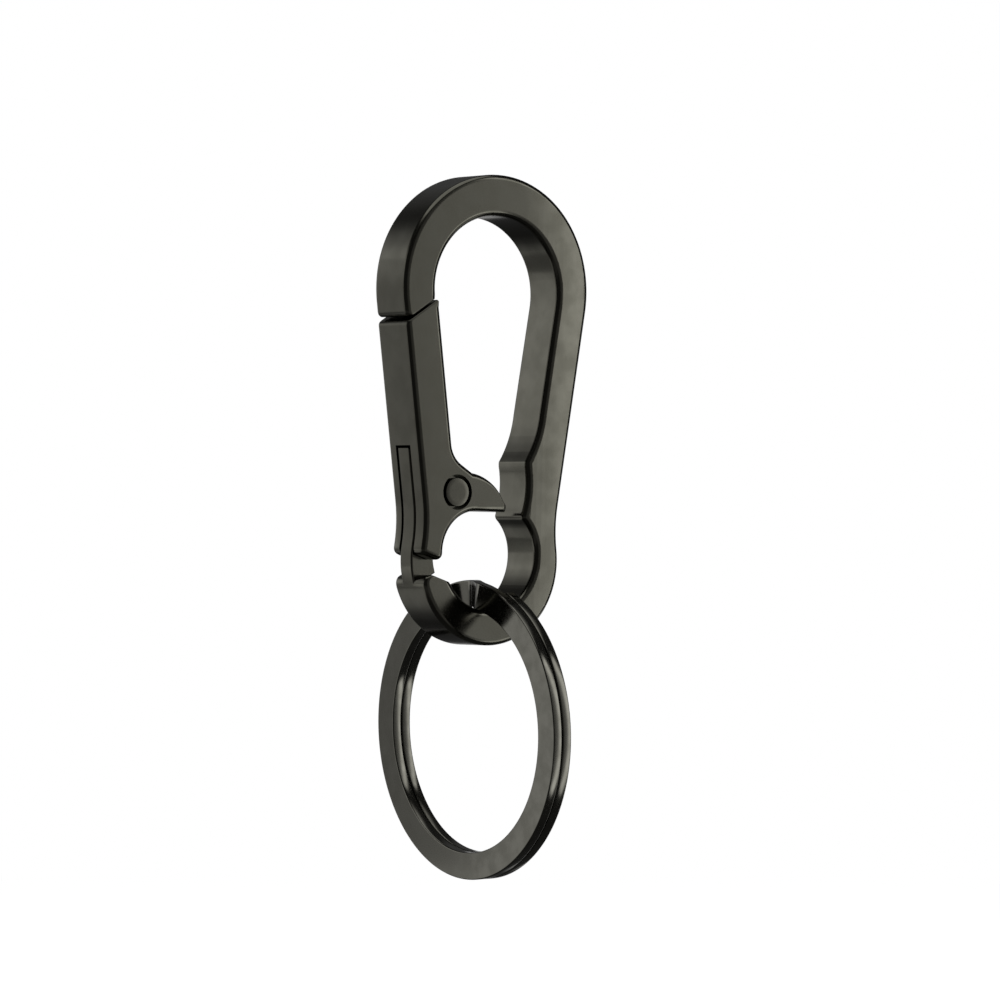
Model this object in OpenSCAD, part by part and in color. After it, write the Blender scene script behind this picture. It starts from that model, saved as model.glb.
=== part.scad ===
// Key clip that hangs from a belt loop: a die-cast snap hook with a sprung gate, a flush
// rivet and a flat split ring for the keys.
// The hook and the gate are drawn in an upright frame of their own, centred on the inside
// of the arch. hang() then leans them as they hang and drops them below the seat.
// Origin: the seat, at the top of the arch's inside, halfway through the depth.
// +X is to the right seen from the front, +Y points to the back, +Z is up.

/* [Hook frame] */
// Inside radius of the arch
arch_r = 8.1; // [7.4:0.1:8.8]
// Width of the arm, seen from the front
arm_w = 4.15; // [3.6:0.05:4.6]
// Extra height of the arch at its top
crown_h = 0.25; // [0:0.05:0.5]
// Depth of the hook from front to back
hook_depth = 5.7; // [5:0.1:7]
// Radius of the rounded edges
edge_r = 0.6; // [0.3:0.05:0.7]
// Drop from the middle of the arch to the middle of the key eye
eye_drop = 28.05; // [27.5:0.05:29]
// Inside radius of the key eye
eye_r = 6; // [5.7:0.05:6.3]
// Width of the arm at the side of the key eye
eye_side_w = 3.1; // [2.7:0.1:3.5]
// Extra thickness of the bar below the key eye
eye_sag = 0.6; // [0.2:0.1:1]
// Radius of the hollow waist above the key eye
waist_r = 16; // [10:1:24]
// Lean of the flanks past the straight line from arch to key eye, in degrees
waist_lean = 2.2; // [1:0.1:3.5]
// Slope of the shoulder on which the left arm ends, in degrees
shoulder_slope = 17.5; // [10:0.5:20]
// Lean of the hook as it hangs, in degrees
hang_lean = 1.9; // [0:0.1:4]

/* [Catch land on the arm] */
// Distance from the pivot to the upper ridge
land_upper_r = 9.8; // [9.5:0.05:10.2]
// Height of the upper ridge above the pivot
land_upper_h = 3.5; // [2.8:0.1:4]
// Distance from the pivot to the lower ridge
land_lower_r = 9.2; // [9:0.05:9.5]
// Drop of the lower ridge below the pivot
land_lower_h = 2.5; // [2:0.1:2.8]
// Depth of the hollow between the ridges
land_sag = 0.35; // [0.1:0.05:0.5]
// Length over which the arm thickens above the upper ridge
swell_h = 5.3; // [4.5:0.1:7]
// Hollow of that thickening
swell_sag = 0.32; // [0.1:0.02:0.5]

/* [Gate] */
// Distance of the pivot to the left of the middle
pivot_x = 4.69; // [4.5:0.01:4.9]
// Drop from the middle of the arch to the pivot
pivot_drop = 21.55; // [21.3:0.05:21.8]
// Width of the gate's arm
gate_w = 4.4; // [4.1:0.05:4.6]
// Drop of the nose's outer corner below the middle of the arch
seam_drop = 3.2; // [2:0.1:5]
// Slope of the seam between nose and gate, in degrees
seam_slope = 34; // [25:1:38]
// Gap at the seam
seam_gap = 0.3; // [0.2:0.05:0.5]
// Opening angle of the gate, in degrees
gate_travel = 30; // [20:1:32]
// Reach of the fin's tip past the pivot
fin_reach = 7.9; // [7.6:0.05:8.2]
// Drop of the fin's underside below the pivot
fin_under = 1.9; // [1.8:0.05:2.1]
// Thickness of the fin at its tip, seen from the front
fin_tip_h = 1.35; // [1.3:0.05:1.5]
// Depth of the fin's tip from front to back
fin_tip_depth = 1.3; // [1:0.1:2.4]
// Length over which the fin's two faces slant in to its tip
fin_slant_l = 1.5; // [1.2:0.1:2.4]
// Place of the fin's upper root to the right of the pivot
fin_root_x = 2.12; // [1.9:0.02:2.4]
// Height of the fin's upper root above the pivot
fin_root_h = 2.1; // [2:0.05:2.4]
// Crown of the fin's upper edge
fin_crown = 0.5; // [0.4:0.05:0.7]
// Slope of the arm's foot above the fin, in degrees
root_slope = 31; // [25:1:36]
// Radius of the corner between the gate's arm and its foot
root_r = 3; // [2:0.1:3.6]
// Drop from the middle of the arch to the gate's lower end
leg_drop = 28.15; // [28:0.05:28.4]
// Radius of the corner between the leg and the fin
leg_corner_r = 4.5; // [4:0.1:5]

/* [Tongue] */
// Thickness of the tongue that rises inside the gate
tongue_t = 2.1; // [1.9:0.1:2.4]
// Shift of the tongue towards the back
tongue_shift = 0.2; // [0:0.05:0.3]
// Width of the tongue's upper strip, seen from the front
tongue_w = 2.2; // [1.9:0.1:2.4]
// Height of the tongue's top above the pivot
tongue_h = 4.5; // [4:0.1:5]
// Radius of the tongue's eye
tongue_eye_r = 2.45; // [2.4:0.01:2.5]
// Clearance of the tongue in its slot, each side
slot_gap = 0.2; // [0.1:0.05:0.25]
// Distance from the gate's lower end down to the shoulder
shoulder_gap = 1.8; // [1.2:0.1:2.2]

/* [Rivet] */
// Diameter of the rivet's shank
shank_d = 2.4; // [2.2:0.1:2.5]
// Diameter of the rivet's heads
head_d = 3.2; // [3:0.1:3.3]
// Height of each head
head_h = 0.7; // [0.5:0.05:0.75]
// Running clearance of the shank in the tongue's eye
shank_gap = 0.05; // [0.03:0.01:0.1]
// Width of the groove round each head
groove_w = 0.25; // [0.1:0.05:0.3]
// Depth of the groove round each head
groove_h = 0.3; // [0.2:0.05:0.4]

/* [Gate spring] */
// Diameter of the spring wire
spring_wire = 0.3; // [0.24:0.02:0.3]
// Mean radius of the spring's coil
spring_r = 1.6; // [1.56:0.02:1.64]
// Advance of the coil in one turn
spring_pitch = 0.4; // [0.36:0.01:0.4]
// Length of each of the spring's legs
spring_leg = 3.8; // [3.2:0.1:4]

/* [Split ring] */
// Outside diameter of the split ring
ring_d = 32; // [28:0.5:35]
// Width of the ring's flat wire, from inside to outside
ring_wire_w = 2.9; // [2.4:0.1:3.2]
// Thickness of the ring's flat wire
ring_wire_t = 1.1; // [0.9:0.05:1.3]
// Gap between the ring's two turns
ring_turn_gap = 0.1; // [0.06:0.02:0.3]
// Radius of the rounded edges of the ring's wire
ring_edge_r = 0.25; // [0.15:0.05:0.35]
// Gap between the ring's inside and the bar of the key eye
ring_hang_gap = 0.3; // [0.25:0.05:0.5]
// Lean of the ring, its foot to the right, in degrees
ring_lean = 1.15; // [0:0.05:2]
// Place of the ring's seat in the eye, in degrees to the left of the lowest point
ring_seat_at = 9.6; // [0:0.1:12]
// Angle of the ring's crank from the top towards the front, in degrees
crank_at = 5; // [0:1:20]
// Angle that the crank takes up, in degrees
crank_span = 14; // [12:1:20]
// Angle from the middle of the crank to each end of the wire, in degrees
ring_end_at = 18; // [15:1:30]

/* [Hidden] */

plating = "#4a4942";
spring_steel = "#8d8f90";

// Facets and winding
round_fn = 64;
edge_steps = 2;
corner_steps = 4;
side_steps = 8;
bow_steps = 8;
half_turn_steps = 26;
wire_sides = 6;
wire_steps = 15;
spring_turns = 2;
ring_steps = 60;
crank_steps = 7;

// How far a cut runs past what it cuts
overrun = 1;

// Arch, key eye and pivot in the hook's own frame
outer_r = arch_r + arm_w;
arch = [0, 0];
arch_top = [0, crown_h];
eye = [0, -eye_drop];
lobe_r = eye_r + eye_side_w;
lobe = [0, -eye_drop - eye_sag];
pivot = [-pivot_x, -pivot_drop];

// The flank is a straight line that leans by flank_a, then the hollow waist
flank_run = arch_top.y - lobe.y;
flank_a = asin((outer_r - lobe_r) / flank_run) + waist_lean;
waist_a = acos((outer_r + waist_r - flank_run * sin(flank_a)) / (lobe_r + waist_r)) - flank_a;
waist = lobe + (lobe_r + waist_r) * polar(1, waist_a);
up_flank = polar(1, flank_a + 90);
down_flank = -up_flank;

// Seam between nose and gate, with the outer and inner corner that each of them has there
seam = polar(1, seam_slope);
nose_corner = flank_point(-seam_drop) + [0, seam_gap / cos(seam_slope) / 2];
gate_corner = nose_corner - [0, seam_gap / cos(seam_slope)];
nose_in = on_circle(nose_corner, seam, arch, arch_r);

// Left end of the frame
shoulder_corner = lobe_point(-leg_drop - shoulder_gap);
shoulder = polar(1, -shoulder_slope);
shoulder_in = on_circle(shoulder_corner, shoulder, eye, eye_r);

// Catch land
land_upper = pivot + [sqrt(pow(land_upper_r, 2) - pow(land_upper_h, 2)), land_upper_h];
land_lower = pivot + [sqrt(pow(land_lower_r, 2) - pow(land_lower_h, 2)), -land_lower_h];
land_mid = (land_upper + land_lower) / 2;
swell_z = land_upper.y + swell_h;
swell_top = [(arch_r + swell_z * sin(flank_a)) / cos(flank_a), swell_z];
eye_side_a = 10;
eye_side = eye + polar(eye_r, eye_side_a);
ridge_r = 1.2 * edge_r;

// Gate
gate_in_r = outer_r - gate_w;
gate_in = arch_top + polar(gate_in_r, 180 + flank_a);
gate_top_in = crossing(gate_corner, seam, gate_in, up_flank);
fin_tip = pivot + [fin_reach, -fin_under];
fin_tip_top = fin_tip + [0, fin_tip_h];
fin_root = pivot + [fin_root_x, fin_root_h];
foot = crossing(fin_root, polar(1, 180 - root_slope), gate_in, down_flank);
leg_in_r = eye_r + slot_gap;
leg_corner = [leg_corner_r - leg_in_r, pivot.y - fin_under - leg_corner_r];
leg_out = lobe_point(-leg_drop);
leg_in = crossing(leg_out, shoulder, [-leg_in_r, 0], [0, 1]);
fin_taper_x = fin_tip.x - fin_slant_l;
fin_tip_r = fin_tip_h * 0.48;

// Tongue and its slot
tongue_inset = 0.1;
tongue_root_a = 200;
tongue_top = pivot.y + tongue_h;
tongue_y = [tongue_shift - tongue_t / 2, tongue_shift + tongue_t / 2];
slot_y = [tongue_y[0] - slot_gap, tongue_y[1] + slot_gap];
slot_eye_r = tongue_eye_r + slot_gap;
slot_stop_a = gate_travel - 90 + 2;

// Spring and its pocket in the back of the tongue's eye; its upper leg lies in the gate's cheek
spring_air = spring_wire / 2;
spring_rest = spring_wire / 6;
pocket_r = spring_r + spring_wire / 2 + spring_air;
pocket_floor = tongue_y[1] - spring_turns * spring_pitch - spring_wire - spring_rest;
spring_start = pocket_floor + spring_wire / 2 + spring_rest;
upper_leg_y = tongue_y[1] + spring_wire / 2 + spring_rest;

// Rivet seat
shank_hole_r = shank_d / 2 + shank_gap;

// Split ring: its top seats a little off the lowest point of the key eye
eye_in_place = [-eye_drop * sin(hang_lean), -arch_r - eye_drop * cos(hang_lean)];
ring_in_r = ring_d / 2 - ring_wire_w;
ring_layer = (ring_wire_t + ring_turn_gap) / 2;
ring_top = eye_in_place + polar(eye_r - ring_hang_gap - ring_wire_w / 2, -90 - ring_seat_at);
ring_middle = ring_top + polar(ring_in_r + ring_wire_w / 2, ring_lean - 90);
ring_path = ring_angles();

echo(least_gap_between_ring_turns = min([
  for (s = ring_path) if (s > ring_end_at && s < 360 - ring_end_at)
    abs(ring_x(s) - ring_x(s - 360)) - ring_wire_t
]));
echo(least_gap_between_spring_turns = spring_pitch - spring_wire);

// Plane geometry
function unit(v) = v / norm(v);
function polar(r, a) = r * [cos(a), sin(a)];
function left_of(v) = [-v.y, v.x];
function flip(p) = [for (q = p) [-q.x, q.y]];
function angle_at(c, p) = atan2(p.y - c.y, p.x - c.x);
function turned(v, a) = [v.x * cos(a) - v.y * sin(a), v.x * sin(a) + v.y * cos(a)];

// Arc round c from angle a to angle b
function arc(c, r, a, b, n) = [for (i = [0:n]) c + polar(r, a + (b - a) * i / n)];

// Arc from p to q whose middle stands off the chord by sag, to the left of the way along it
function bow(p, q, sag, n) =
  let (
    half = norm(q - p) / 2,
    r = (half * half + sag * sag) / (2 * abs(sag)),
    along = unit(q - p),
    side = left_of(along) * sign(sag),
    c = (p + q) / 2 - side * (r - abs(sag)),
    a = 2 * atan(abs(sag) / half)
  )
  [for (i = [0:n]) let (t = a * (2 * i / n - 1)) c + r * (side * cos(t) + along * sin(t))];

// The corner at b, between a and c, rounded with radius r
function corner(a, b, c, r, n) =
  let (
    u = unit(a - b),
    v = unit(c - b),
    half = acos(u * v) / 2,
    middle = b + unit(u + v) * r / sin(half),
    from = b + u * r / tan(half) - middle,
    to = b + v * r / tan(half) - middle,
    turn = (180 - 2 * half) * sign(from.x * to.y - from.y * to.x)
  )
  [for (i = [0:n]) middle + turned(from, turn * i / n)];

// Where the line through p along d meets the line through q along e
function crossing(p, d, q, e) =
  let (w = q - p)
  p + d * (w.x * e.y - w.y * e.x) / (d.x * e.y - d.y * e.x);

// Where the line through p along the unit vector e first meets the circle of radius r round c
function on_circle(p, e, c, r) =
  let (b = (p - c) * e)
  p - e * (b + sqrt(b * b - (p - c) * (p - c) + r * r));

// Evenly spaced points from p to q
function line(p, q, n) = [for (i = [0:n]) p + (q - p) * i / n];

// Points of the left outer side at height z: on the straight flank, on the waist and on the lobe
function flank_point(z) = [-(outer_r + (z - arch_top.y) * sin(flank_a)) / cos(flank_a), z];
function waist_point(z) = [sqrt(pow(waist_r, 2) - pow(z - waist.y, 2)) - waist.x, z];
function lobe_point(z) = [-sqrt(pow(lobe_r, 2) - pow(z - lobe.y, 2)), z];
function left_point(z) =
  z > waist.y + waist_r * sin(flank_a) ? flank_point(z)
  : z > waist.y - waist_r * sin(waist_a) ? waist_point(z)
  : lobe_point(z);
function left_side(z_from, z_to, n) = [for (i = [0:n]) left_point(z_from + (z_to - z_from) * i / n)];

// The waist on the left from top to bottom, moved inwards by d
function left_waist(d) = flip(arc(waist, waist_r + d, 180 - flank_a, 180 + waist_a, side_steps));

// Inside of the right arm from the arch down to the key eye
function arm_inside() = concat(
  line(polar(arch_r, -flank_a), swell_top, corner_steps),
  [for (q = bow(swell_top, land_upper, swell_sag, bow_steps))
    if (q.y < swell_top.y && q.y > land_upper.y + ridge_r) q],
  corner(swell_top, land_upper, land_mid, ridge_r, corner_steps),
  [for (q = bow(land_upper, land_lower, land_sag, bow_steps))
    if (q.y < land_upper.y - ridge_r && q.y > land_lower.y + ridge_r) q],
  corner(land_mid, land_lower, eye_side, ridge_r, corner_steps),
  [(land_lower + eye_side) / 2]
);

// The frame without its tongue, from the nose over the arch to the shoulder
function frame_inside() = concat(
  arc(arch, arch_r, 360 + angle_at(arch, nose_in), -flank_a, half_turn_steps + 1),
  without_first(arm_inside()),
  arc(eye, eye_r, eye_side_a, angle_at(eye, shoulder_in), half_turn_steps)
);
function frame_outside() = concat(
  [nose_corner],
  arc(arch_top, outer_r, 180 + flank_a, -flank_a, half_turn_steps),
  flip([for (q = without_first(arm_inside())) left_point(q.y)]),
  arc(lobe, lobe_r, waist_a, angle_at(lobe, shoulder_corner) - lobe_turn, half_turn_steps)
);
lobe_turn = angle_at(lobe, shoulder_corner) > 0 ? 360 : 0;

// The gate from the seam down: its inside runs round the fin, and each stretch of the inside has
// a stretch of the outside beside it
fin_top = without_last(bow(fin_root, fin_tip_top, fin_crown, bow_steps));
root_arc = corner(gate_in, foot, fin_root, root_r, side_steps);
leg_end_out = corner(leg_out + up_flank, leg_out, leg_in, ridge_r, corner_steps);
leg_end_in = corner(leg_out, leg_in, leg_in + [0, edge_r], ridge_r, corner_steps);
function gate_inside() = concat(
  line(gate_top_in, root_arc[0], corner_steps),
  without_first(root_arc),
  fin_top,
  corner(fin_top[bow_steps - 1], fin_tip_top, fin_tip, fin_tip_r, corner_steps),
  corner(fin_tip_top, fin_tip, [leg_corner.x, fin_tip.y], fin_tip_r, corner_steps),
  arc(leg_corner, leg_corner_r, 90, 180, side_steps),
  reversed(leg_end_in)
);
function gate_outside() = concat(
  line(gate_corner, flank_point(root_arc[0].y), corner_steps),
  without_first(left_side(root_arc[0].y, pivot.y + tongue_eye_r, side_steps)),
  left_side(pivot.y + head_d / 2, pivot.y + shank_d / 2, bow_steps - 1),
  left_side(pivot.y + shank_d / 3, pivot.y, corner_steps),
  left_side(pivot.y - shank_d / 6, pivot.y - shank_d / 2, corner_steps),
  left_side(pivot.y - fin_under, -leg_drop + 2 * ridge_r, side_steps),
  leg_end_out
);
function without_first(p) = [for (i = [1:len(p) - 1]) p[i]];
function without_last(p) = [for (i = [0:len(p) - 2]) p[i]];
function reversed(p) = [for (i = [len(p) - 1:-1:0]) p[i]];

// The tongue seen from the front, without its eye
function tongue_outline() = concat(
  [strip_point(0, tongue_top)],
  left_waist(tongue_inset),
  arc(lobe, lobe_r - tongue_inset, 180 - waist_a, tongue_root_a, side_steps),
  arc(eye, leg_in_r, tongue_root_a, angle_at(eye, pivot), side_steps),
  [pivot, strip_point(tongue_w, pivot.y), strip_point(tongue_w, tongue_top)]
);

// Point at height z of a line along the left flank, d further in than the tongue's outside
function strip_point(d, z) = [flank_point(z).x + (tongue_inset + d) / cos(flank_a), z];

// The slot above the pivot, and the slot below it with the room that the gate's turn needs
function slot_above() = [
  strip_point(tongue_w + slot_gap, pivot.y),
  strip_point(tongue_w + slot_gap, tongue_top + 1.5 * slot_gap),
  strip_point(-arm_w, tongue_top + 1.5 * slot_gap),
  strip_point(-arm_w, pivot.y)
];
function slot_below() = [
  pivot,
  strip_point(-arm_w, pivot.y),
  [strip_point(-arm_w, pivot.y).x, -leg_drop - arm_w],
  [pivot.x + 2 * arm_w * cos(slot_stop_a), -leg_drop - arm_w],
  pivot + polar(2 * arm_w, slot_stop_a)
];

// Solid between sections, each convex and anticlockwise when looked at along the way
module loft(sections) {
  n = len(sections[0]);
  last = len(sections) - 1;
  first_face = [[for (i = [n - 1:-1:0]) i]];
  last_face = [[for (i = [0:n - 1]) last * n + i]];
  polyhedron(
    points = [for (s = sections) each s],
    faces = concat(first_face, skin(n, last), last_face),
    convexity = 10
  );
}

// Triangles between last + 1 rings of n points each
function skin(n, last) = [
  for (j = [0:last - 1]) for (i = [0:n - 1]) let (k = (i + 1) % n) each [
    [j * n + i, j * n + k, (j + 1) * n + k],
    [j * n + i, (j + 1) * n + k, (j + 1) * n + i]
  ]
];

// Plate between two lines of points in the front view, one on the right and one on the left of
// the way along it. Its front and back edges are rounded, and so is the far end's if round_end is 1.
module plate(right, left, round_end) {
  m = len(right);
  n = 2 * m;
  outline = concat(right, reversed(left));
  half = hook_depth / 2;
  steps = [for (k = [0:edge_steps]) 90 * k / edge_steps];
  levels = concat(
    [for (a = steps) [edge_r * (1 - sin(a)), edge_r * (1 - cos(a)) - half]],
    [for (a = reversed(steps)) [edge_r * (1 - sin(a)), half - edge_r * (1 - cos(a))]]
  );
  top = (len(levels) - 1) * n;
  across = [for (i = [0:m - 2]) each [[i, i + 1, n - 2 - i], [i, n - 2 - i, n - 1 - i]]];
  polyhedron(
    points = [
      for (l = levels) for (i = [0:n - 1])
        let (
          before = i == 0 ? 0 : i == m ? l.x * round_end : l.x,
          after = i == n - 1 ? 0 : i == m - 1 ? l.x * round_end : l.x,
          q = inwards(outline[(i + n - 1) % n], outline[i], outline[(i + 1) % n], before, after)
        )
        [q.x, l.y, q.y]
    ],
    faces = concat(
      [for (t = across) [t[2], t[1], t[0]]],
      skin(n, len(levels) - 1),
      [for (t = across) [top + t[0], top + t[1], top + t[2]]]
    ),
    convexity = 10
  );
}

// The corner at q of an anticlockwise outline, its sides moved inwards by d and e
function inwards(p, q, r, d, e) =
  let (
    u = left_of(unit(q - p)),
    v = left_of(unit(r - q)),
    turn = u.x * v.y - u.y * v.x
  )
  abs(turn) < 1e-3 ? q + (d + e) / 2 * u : q + [d * v.y - e * u.y, e * u.x - d * v.x] / turn;

// Stands an outline of the front view up, from depth a to depth b
module stand(a, b) {
  translate([0, b, 0]) rotate([90, 0, 0]) linear_extrude(height = b - a) children();
}

// Cylinder along Y through the pivot, from depth a to depth b
module at_pivot(r, a, b) {
  translate([pivot.x, b, pivot.y]) rotate([90, 0, 0]) cylinder(r = r, h = b - a, $fn = round_fn);
}

// Leans the hook as it hangs and drops it below the seat
module hang() {
  translate([0, 0, -arch_r]) rotate([0, hang_lean, 0]) children();
}

module tongue() {
  stand(tongue_y[0], tongue_y[1]) polygon(tongue_outline());
  at_pivot(tongue_eye_r, tongue_y[0], tongue_y[1]);
}

// Groove for a leg of the spring, from height a to height b over the pivot
module leg_groove(a, b, floor, open) {
  side = spring_wire / 2 + spring_air;
  translate([pivot.x - spring_r - side, floor, pivot.y + a]) cube([2 * side, open - floor, b - a]);
}

module hook_frame() {
  color(plating) hang() difference() {
    union() {
      plate(frame_inside(), frame_outside(), 0);
      tongue();
    }
    at_pivot(shank_hole_r, tongue_y[0] - overrun, tongue_y[1] + overrun);
    at_pivot(pocket_r, pocket_floor, tongue_y[1] + overrun);
    leg_groove(-spring_leg - spring_air, 0, pocket_floor, tongue_y[1] + overrun);
  }
}

module gate() {
  face = hook_depth / 2;
  color(plating) hang() difference() {
    plate(gate_outside(), gate_inside(), 1);
    for (side = [0, 1]) mirror([0, side, 0]) fin_taper();
    stand(slot_y[0], slot_y[1]) polygon(slot_above());
    stand(slot_y[0], slot_y[1]) polygon(slot_below());
    at_pivot(slot_eye_r, slot_y[0], slot_y[1]);
    leg_groove(0, spring_leg + spring_air, tongue_y[1], upper_leg_y + spring_wire / 2 + spring_air);
    at_pivot(shank_d / 2, -face - overrun, face + overrun);
    for (side = [0, 1]) mirror([0, side, 0]) {
      at_pivot(head_d / 2, -face - overrun, head_h - face);
      at_pivot(head_d / 2 + groove_w, -face - overrun, groove_h - face);
    }
  }
}

// Wedge that thins the fin towards its tip, on the front
module fin_taper() {
  face = hook_depth / 2;
  tip = fin_tip_depth / 2;
  slope = (face - tip) / (fin_tip.x - fin_taper_x);
  translate([0, 0, fin_tip.y - overrun]) linear_extrude(height = fin_under + fin_root_h + 2 * overrun)
    polygon([
      [fin_taper_x - overrun, -face - slope * overrun],
      [fin_tip.x + overrun, -face - overrun],
      [fin_tip.x + overrun, slope * overrun - tip]
    ]);
}

module pivot_rivet() {
  face = hook_depth / 2;
  color(plating) hang() {
    at_pivot(shank_d / 2, -face, face);
    for (side = [0, 1]) mirror([0, side, 0]) at_pivot(head_d / 2, -face, head_h - face);
  }
}

// Middle line of the spring: a leg down the tongue, the coil round the rivet, a leg up the gate
function spring_line() = concat(
  [spring_point(180, 0) - [0, 0, spring_leg]],
  [for (i = [0:spring_turns * wire_steps]) spring_point(180 - 360 * i / wire_steps, i / wire_steps)],
  [for (h = [spring_r / 2, spring_leg]) [pivot.x - spring_r, upper_leg_y, pivot.y + h]]
);
function spring_point(a, turns) =
  let (p = pivot + polar(spring_r, a))
  [p.x, spring_start + spring_pitch * turns, p.y];

module gate_spring() {
  line = spring_line();
  last = len(line) - 1;
  color(spring_steel) hang() loft([
    for (i = [0:last])
      let (
        along = unit(line[min(i + 1, last)] - line[max(i - 1, 0)]),
        right = unit(cross(along, [0, 1, 0])),
        up = cross(right, along)
      )
      [for (k = [0:wire_sides - 1]) let (a = 360 * k / wire_sides)
        line[i] + spring_wire / 2 * (right * cos(a) + up * sin(a))]
  ]);
}

// Angles along the ring's wire, counted from the middle of its crank
function ring_angles() = concat(
  [for (i = [0:ring_steps - 1]) ring_end_at - 360 + (360 - ring_end_at - crank_span / 2) * i / ring_steps],
  [for (i = [0:crank_steps - 1]) crank_span * (i / crank_steps - 1 / 2)],
  [for (i = [0:ring_steps]) crank_span / 2 + (360 - ring_end_at - crank_span / 2) * i / ring_steps]
);

// Middle of the wire along the ring's axis: one side before the crank, the other after it
function ring_x(s) = -ring_layer * sin(90 * max(-1, min(1, 2 * s / crank_span)));

module split_ring() {
  color(plating) translate([ring_middle.x, 0, ring_middle.y]) rotate([0, -ring_lean, 0]) loft([
    for (s = ring_path) [for (q = wire_section())
      let (r = ring_in_r + ring_wire_w / 2 + q.y, a = crank_at + s)
      [ring_x(s) - q.x, -r * sin(a), r * cos(a)]]
  ]);
}

// Section of the flat wire with rounded edges, anticlockwise
function wire_section() =
  let (w = ring_wire_t / 2 - ring_edge_r, h = ring_wire_w / 2 - ring_edge_r)
  concat(
    arc([w, -h], ring_edge_r, -90, 0, 2),
    arc([w, h], ring_edge_r, 0, 90, 2),
    arc([-w, h], ring_edge_r, 90, 180, 2),
    arc([-w, -h], ring_edge_r, 180, 270, 2)
  );

hook_frame();
gate();
pivot_rivet();
gate_spring();
split_ring();
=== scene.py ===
# Belt key clip: cast hook, sprung gate on a flush rivet, and a flat split ring
# Sizes are in millimetres in the hook's own upright frame, centred on the inside of the arch
from math import acos, atan2, cos, degrees, hypot, pi, radians, sin, sqrt, tan

import bmesh
import bpy
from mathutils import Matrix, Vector


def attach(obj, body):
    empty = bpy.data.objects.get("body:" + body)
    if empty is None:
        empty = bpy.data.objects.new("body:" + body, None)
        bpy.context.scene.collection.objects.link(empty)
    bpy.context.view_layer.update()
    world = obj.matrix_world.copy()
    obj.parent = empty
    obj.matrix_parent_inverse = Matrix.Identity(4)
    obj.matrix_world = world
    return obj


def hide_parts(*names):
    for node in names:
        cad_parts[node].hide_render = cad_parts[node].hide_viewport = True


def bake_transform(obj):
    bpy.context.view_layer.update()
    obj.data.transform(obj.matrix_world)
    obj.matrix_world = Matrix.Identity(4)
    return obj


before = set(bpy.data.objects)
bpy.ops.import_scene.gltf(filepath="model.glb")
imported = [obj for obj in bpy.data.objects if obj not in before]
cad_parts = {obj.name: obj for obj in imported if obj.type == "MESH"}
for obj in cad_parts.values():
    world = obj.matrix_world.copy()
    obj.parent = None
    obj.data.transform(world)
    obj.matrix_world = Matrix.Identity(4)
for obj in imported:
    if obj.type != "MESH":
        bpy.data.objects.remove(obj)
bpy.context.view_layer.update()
mm = 0.001
mergeReach = 1e-6  # in metres: points nearer to each other than this become one
print("stage: frame loaded")


# Pen for outlines seen from the front: x to the right, z up

def polar(r, angle):
    return (r * cos(radians(angle)), r * sin(radians(angle)))


def plus(p, q):
    return (p[0] + q[0], p[1] + q[1])


def minus(p, q):
    return (p[0] - q[0], p[1] - q[1])


def along(p, q, share):
    return (p[0] + (q[0] - p[0]) * share, p[1] + (q[1] - p[1]) * share)


def angleAt(centre, p):
    return degrees(atan2(p[1] - centre[1], p[0] - centre[0]))


def crossing(p, d, q, e):
    w = minus(q, p)
    t = (w[0] * e[1] - w[1] * e[0]) / (d[0] * e[1] - d[1] * e[0])
    return (p[0] + d[0] * t, p[1] + d[1] * t)


def onCircle(p, direction, centre, r):  # where a line first meets a circle
    w = minus(p, centre)
    b = w[0] * direction[0] + w[1] * direction[1]
    t = -b - sqrt(b * b - w[0] ** 2 - w[1] ** 2 + r * r)
    return (p[0] + direction[0] * t, p[1] + direction[1] * t)


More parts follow.
